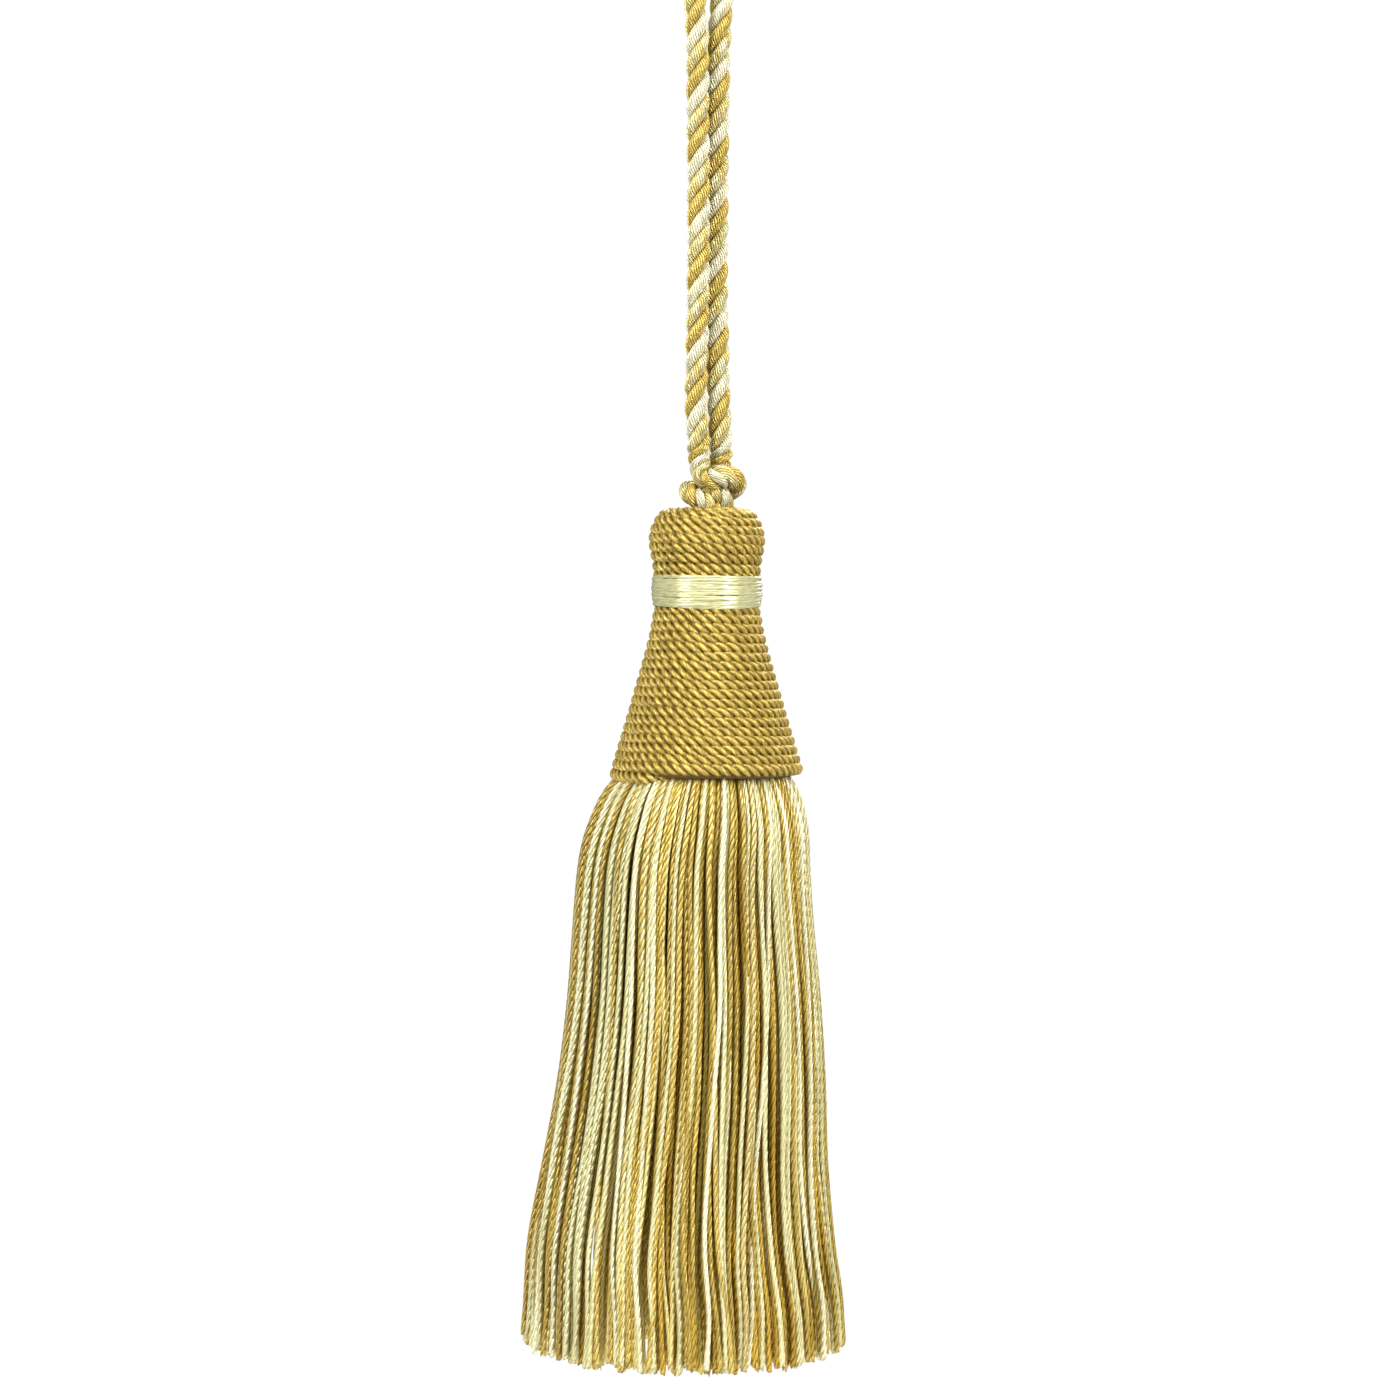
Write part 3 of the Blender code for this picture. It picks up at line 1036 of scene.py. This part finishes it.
def wound_rows(outline, pitch, radius, end_angle):
    """A cord wound down an outline, pitch by pitch, to stop at an angle. Places and radii."""
    corners = smooth_route([(r * MM, -d * MM, 0.0) for r, d in outline], OUTLINE_STEP)
    along = lengths_along(corners)
    run = np.gradient(corners[:, :2], axis=0)
    run /= np.linalg.norm(run, axis=1)[:, None]
    crowns = corners[:, :2] + radius * np.column_stack([run[:, 1], -run[:, 0]])
    angles = np.arange(0.0, 2 * math.pi * along[-1] / pitch, WINDING_ANGLE_STEP)
    down = angles * pitch / (2 * math.pi)
    reach = np.interp(down, along, crowns[:, 0])
    height = np.interp(down, along, crowns[:, 1])
    angles = angles - angles[-1] + end_angle
    places = np.column_stack([reach * np.cos(angles), reach * np.sin(angles), HEAD_TOP_Z + height])
    return evenly(np.column_stack([places, np.full(len(places), radius)]), WINDING_STEP)


def eased(share):
    """A share from 0 to 1 with a soft start and a soft end."""
    share = np.clip(share, 0.0, 1.0)
    return share * share * (3 - 2 * share)


def tucked(rows):
    """The rows with their last stretch lowered, and its end drawn in towards the axis."""
    along = lengths_along(rows)
    left = along[-1] - along
    turned_in = eased(1 - left / TUCK_RUN)
    rows = rows.copy()
    rows[:, 2] -= DIP * eased(1 - (left - TUCK_RUN) / DIP_RUN)
    reach = np.hypot(rows[:, 0], rows[:, 1])
    rows[:, :2] *= (1 - TUCK * turned_in / reach)[:, None]
    rows[:, 3] *= 1 - TUCK_THINNING * turned_in
    return rows


class TASSEL_OT_head_winding(Operator):
    """Winds the head with fine twisted cord over its turned core"""

    bl_idname = "tassel.head_winding"
    bl_label = "Head Winding"

    def execute(self, context):
        head = context.scene.tassel.head
        gold, _ = silks(context)
        material = yarn_material(
            "winding_gold",
            *gold,
            PLIES,
            fibres=14.0,
            fibre_lay=-9.0,
            depth=0.25,
            roughness=0.22,
            streak_tone_and_glint_weigh=0.55,
            streaks_end=0.6,
            yarns_weigh=0.1,
            strands_weigh=0.0,
            groove_shade_weighs=1.0,
            relief=0.16,
        )
        radius = WINDING_SHARE_OF_PITCH * head.pitch
        neck = wound_rows(NECK_OUTLINE_MM, head.neck_pitch, radius, NECK_END_ANGLE)
        cone = wound_rows(CONE_OUTLINE_MM, head.pitch, radius, CONE_END_ANGLE)
        profile = lobed_profile(PLIES, POINTS_A_PLY, WINDING_VALLEY)
        strands = [twisted_rings(rows, profile, head.lay) for rows in (neck, tucked(cone))]
        piece = spun("head_winding", strands, [material])
        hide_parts("head")

        core = turned_core(head.pitch)
        # The core is painted as shade: a random grain between the gold's dark tone and near black.
        cover = Nodes("core_painted_shade")
        place = cover.tree.nodes.new("ShaderNodeTexCoord").outputs["Object"]
        grain = cover.noise(place, 1800.0)
        colour = cover.mixed(grain, (*gold[1], 1), (*CORE_PAINTED_SHADE, 1))
        core.data.materials.append(cover.finish(colour, {"Roughness": 0.7}, grain, 0.05 * MM))
        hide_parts("head")
        return {"FINISHED"}


def turned_core(pitch):
    """The turned core under the winding, with its bore, closed at the foot."""
    under = CORE_UNDER_PITCH * pitch / MM
    outline = (*NECK_OUTLINE_MM[3:-1], *CONE_OUTLINE_MM[1:])
    profile = [(r - under, d + (under if i == 0 else 0.0)) for i, (r, d) in enumerate(outline)]
    profile = [*CORE_BORE_MM, *profile, *CORE_FOOT_MM]
    shape = bmesh.new()
    verts = [shape.verts.new((r * MM, 0, HEAD_TOP_Z - d * MM)) for r, d in profile]
    edges = [shape.edges.new(pair) for pair in zip(verts, verts[1:])]
    bmesh.ops.spin(
        shape,
        geom=verts + edges,
        cent=(0, 0, 0),
        axis=(0, 0, 1),
        angle=2 * math.pi,
        steps=72,
        use_merge=True,
    )
    bmesh.ops.remove_doubles(shape, verts=shape.verts, dist=1e-6)
    bmesh.ops.recalc_face_normals(shape, faces=shape.faces)
    mesh = bpy.data.meshes.new("head_core")
    shape.to_mesh(mesh)
    shape.free()
    mesh.shade_smooth()
    return add_piece("head_core", mesh)


def phase(rng):
    """A random start for a wave, anywhere in its turn."""
    return rng.uniform(0, 6.3)


class TASSEL_OT_neck_band(Operator):
    """Winds the cream floss band round the neck"""

    bl_idname = "tassel.neck_band"
    bl_label = "Neck Band"

    def execute(self, context):
        turns = context.scene.tassel.head.floss_turns
        _, cream = silks(context)
        rng = np.random.default_rng(SEED)
        angles = np.arange(0.0, 2 * math.pi * turns, BAND_ANGLE_STEP)
        share = angles / angles[-1]
        height = BAND_BOTTOM - BAND_TOP
        radius = FLOSS_SHARE_OF_PITCH * height / turns
        wander = sum(np.sin(angles * rng.uniform(0.6, 3.7) + phase(rng)) for _ in range(6))
        ripple = np.sin(angles * 21.3 + 2 * np.sin(3.1 * angles))
        depth = BAND_TOP + radius + share * (height - 2 * radius) + FLOSS_WANDER * wander
        depth += FLOSS_RIPPLE * ripple - BAND_DROOP * share * np.sin(angles)
        bulge = BAND_BULGE * (2 * share - 1) ** 2
        lift = sum(np.sin(angles * rng.uniform(1.1, 4.3) + phase(rng)) for _ in range(4))
        reach = BAND_RADIUS - radius - bulge + FLOSS_LIFT * lift
        rows = np.column_stack(
            [
                reach * np.cos(angles),
                reach * np.sin(angles),
                HEAD_TOP_Z - depth,
                np.full(len(angles), radius),
            ]
        )
        # With one lobe, the painted groove shade lies on each turn's side towards the head, fading
        # over its upper and lower sides into the crevices between turns.
        material = yarn_material(
            "floss_cream",
            shaded(cream[0], FLOSS_SHADES),
            cream[1],
            1,
            fibres=9.0,
            fibre_lay=14.0,
            depth=0.05,
            roughness=0.15,
            tint=(1.0, 1.0, 0.95),
            metallic=0.35,
            streak_tone_and_glint_weigh=0.45,
            groove_shade_weighs=0.6,
        )
        piece = spun("neck_floss", [wrapped_rings(rows, 8)], [material])
        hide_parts("neck_band")
        return {"FINISHED"}


def colour_runs(rng, count):
    """Gold (0), cream (1) or mixed (2) for each thread round the skirt, now more gold, now less."""
    drawn = np.arange(0, count + COLOUR_RUN, COLOUR_RUN)
    creams = np.interp(np.arange(count), drawn, rng.uniform(*CREAM_THREADS, len(drawn)))
    golds = np.where(rng.random(count) < MIXED_THREADS, 2, 0)
    return np.where(rng.random(count) < creams, 1, golds)


def cut_ragged(rings, rng):
    """The rings of a thread with the points of its cut end at uneven lengths."""
    rings = rings.copy()
    along = rings[-1].mean(axis=0) - rings[-2].mean(axis=0)
    rings[-1] += rng.uniform(*CUT_RAGGED, len(rings[-1]))[:, None] * along
    return rings


class Hang:
    """How the skirt's threads hang: its sections, and the sways that neighbours share."""

    def __init__(self, rng):
        self.rng = rng
        self.table = smooth_route(SKIRT_SECTIONS_MM, 1.0)
        self.sways = [
            (waves, size, rng.uniform(0, 2 * math.pi), rng.uniform(-2.5, 2.5))
            for waves, size in SHARED_SWAYS
        ]

    def rows(self, angle, share, half, step, stray):
        """Places and radii of one thread, from inside the rim to its cut end."""
        rng, table = self.rng, self.table
        across = math.cos(angle)
        end = SKIRT_LENGTH_MM + CUT_TILT_MM * across - CUT_RISE_MM * across**4
        end += rng.uniform(*CUT_SPREAD_MM)
        depth = np.linspace(table[0, 0], end, THREAD_ROWS)
        fall = np.clip(depth / SKIRT_LENGTH_MM, 0.0, 1.0)
        lean = np.interp(depth, table[:, 0], table[:, 1])
        radius = np.interp(depth, table[:, 0], table[:, 2])
        turn = angle + rng.normal(0.0, STRAY_DRIFT if stray else DRIFT) * fall
        for waves, size, start, rate in self.sways:
            turn = turn + size * fall**1.3 * np.sin(waves * angle + start + rate * fall)
        bends = [(rng.uniform(fewest, most), size) for fewest, most, size in OWN_BENDS]
        for cycles, size in bends:
            turn = turn + size * fall * np.sin(2 * math.pi * cycles * fall + phase(rng))
        swell = rng.normal(0.0, SWELL)
        swell = swell + SWELL_WAVE * np.sin(2 * math.pi * rng.uniform(0.6, 1.8) * fall + phase(rng))
        reach = radius * share * (1.0 + swell * fall) * MM
        places = [lean * MM + reach * np.cos(turn), reach * np.sin(turn), RIM_Z - depth * MM]
        width = half * (1.0 + rng.uniform(*WIDTH_SPREAD))
        rows = evenly(np.column_stack([*places, np.full(len(depth), width)]), step)
        along = lengths_along(rows)
        left = along[-1] - along
        rows[:, 3] *= ROOT_WIDTH + (1.0 - ROOT_WIDTH) * eased(along / ROOT_RUN)
        rows[:, 3] *= 1.0 + END_FLUFF * eased(1 - left / END_RUN)
        rows[-1, 3] *= END_WIDTH
        return rows


class TASSEL_OT_skirt(Operator):
    """Hangs the cut threads of the skirt, layer by layer"""

    bl_idname = "tassel.skirt"
    bl_label = "Skirt"

    def execute(self, context):
        skirt = context.scene.tassel.skirt
        gold, cream = silks(context)
        rng = np.random.default_rng(SEED)
        hang = Hang(rng)
        colours = ("gold", "cream", "mixed")
        groups = {}
        for layer, share, count, points, step in SKIRT_LAYERS:
            for i, pick in enumerate(colour_runs(rng, count)):
                angle = 2 * math.pi * (i + rng.uniform(-THREAD_SHIFT, THREAD_SHIFT)) / count
                near = share * (1.0 - EVERY_SECOND_IN * (i % 2) + rng.uniform(*THREAD_IN_OUT))
                rows = hang.rows(angle, near, skirt.thread / 2, step * MM, layer == "stray")
                rings = wrapped_rings(rows, points)
                groups.setdefault((layer, colours[pick]), []).append(cut_ragged(rings, rng))
        for angle, apart in LONE_THREADS:
            rows = hang.rows(angle, 1.0, skirt.thread / 2, 1.0 * MM, False)
            fall = lengths_along(rows) / (SKIRT_LENGTH_MM * MM)
            rows[:, :2] *= (1 + apart * eased(2.5 * fall - 1.2))[:, None]
            groups["stray", "gold"].append(cut_ragged(wrapped_rings(rows, 8), rng))
        first = 0
        for (layer, colour), strands in groups.items():
            # Each layer's silk is scaled as painted light and shade.
            shades = LAYER_PAINTED_LIGHT_AND_SHADE[layer]
            light, deep = both_shaded(blended(gold, cream, CREAM_SHARES[colour]), shades)
            look = dict(CREAM_THREAD_LOOK if colour == "cream" else THREAD_LOOK)
            look.update(pattern_lay=skirt.lay / MM, gloss=LAYER_GLOSS[layer])
            # Cream strays skip this dimming, so that they stay lighter as painted highlight.
            if colour == "cream" and layer != "stray":
                light = shaded(light, THREAD_CREAM_SHADES)
            if colour == "mixed":
                look["accent"] = both_shaded(blended(gold, cream, MIXED_ACCENT), shades)
            material = yarn_material(f"thread_{colour}_{layer}", light, deep, THREAD_PLIES, **look)
            piece = spun(f"skirt_{colour}_{layer}", strands, [material], first=first)
            first += len(strands)
            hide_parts("skirt")
        return {"FINISHED"}


class TASSEL_PT_panel(Panel):
    """Lists the tassel's steps and sizes"""

    bl_idname = "TASSEL_PT_panel"
    bl_label = "Silk Tassel"
    bl_space_type = "VIEW_3D"
    bl_region_type = "UI"
    bl_category = "Tassel"

    def draw(self, context):
        tassel = context.scene.tassel
        for operator, settings in (
            (TASSEL_OT_stage, tassel.stage),
            (TASSEL_OT_hanging_cord, tassel.cord),
            (TASSEL_OT_head_winding, tassel.head),
            (TASSEL_OT_neck_band, None),
            (TASSEL_OT_skirt, tassel.skirt),
        ):
            box = self.layout.box()
            box.operator(operator.bl_idname)
            if settings:
                for name in settings.__annotations__:
                    box.prop(settings, name)
        box = self.layout.box()
        for name in tassel.silk.__annotations__:
            box.prop(tassel.silk, name)


CLASSES = (
    CordSettings,
    HeadSettings,
    SkirtSettings,
    SilkSettings,
    StageSettings,
    TasselSettings,
    TASSEL_OT_stage,
    TASSEL_OT_hanging_cord,
    TASSEL_OT_head_winding,
    TASSEL_OT_neck_band,
    TASSEL_OT_skirt,
    TASSEL_PT_panel,
)


def register():
    for cls in CLASSES:
        bpy.utils.register_class(cls)
    bpy.types.Scene.tassel = PointerProperty(type=TasselSettings)


def unregister():
    del bpy.types.Scene.tassel
    for cls in reversed(CLASSES):
        bpy.utils.unregister_class(cls)


def main():
    register()
    bpy.ops.tassel.stage()
    bpy.ops.tassel.hanging_cord()
    bpy.ops.tassel.head_winding()
    bpy.ops.tassel.neck_band()
    bpy.ops.tassel.skirt()


if __name__ == "__main__":
    main()
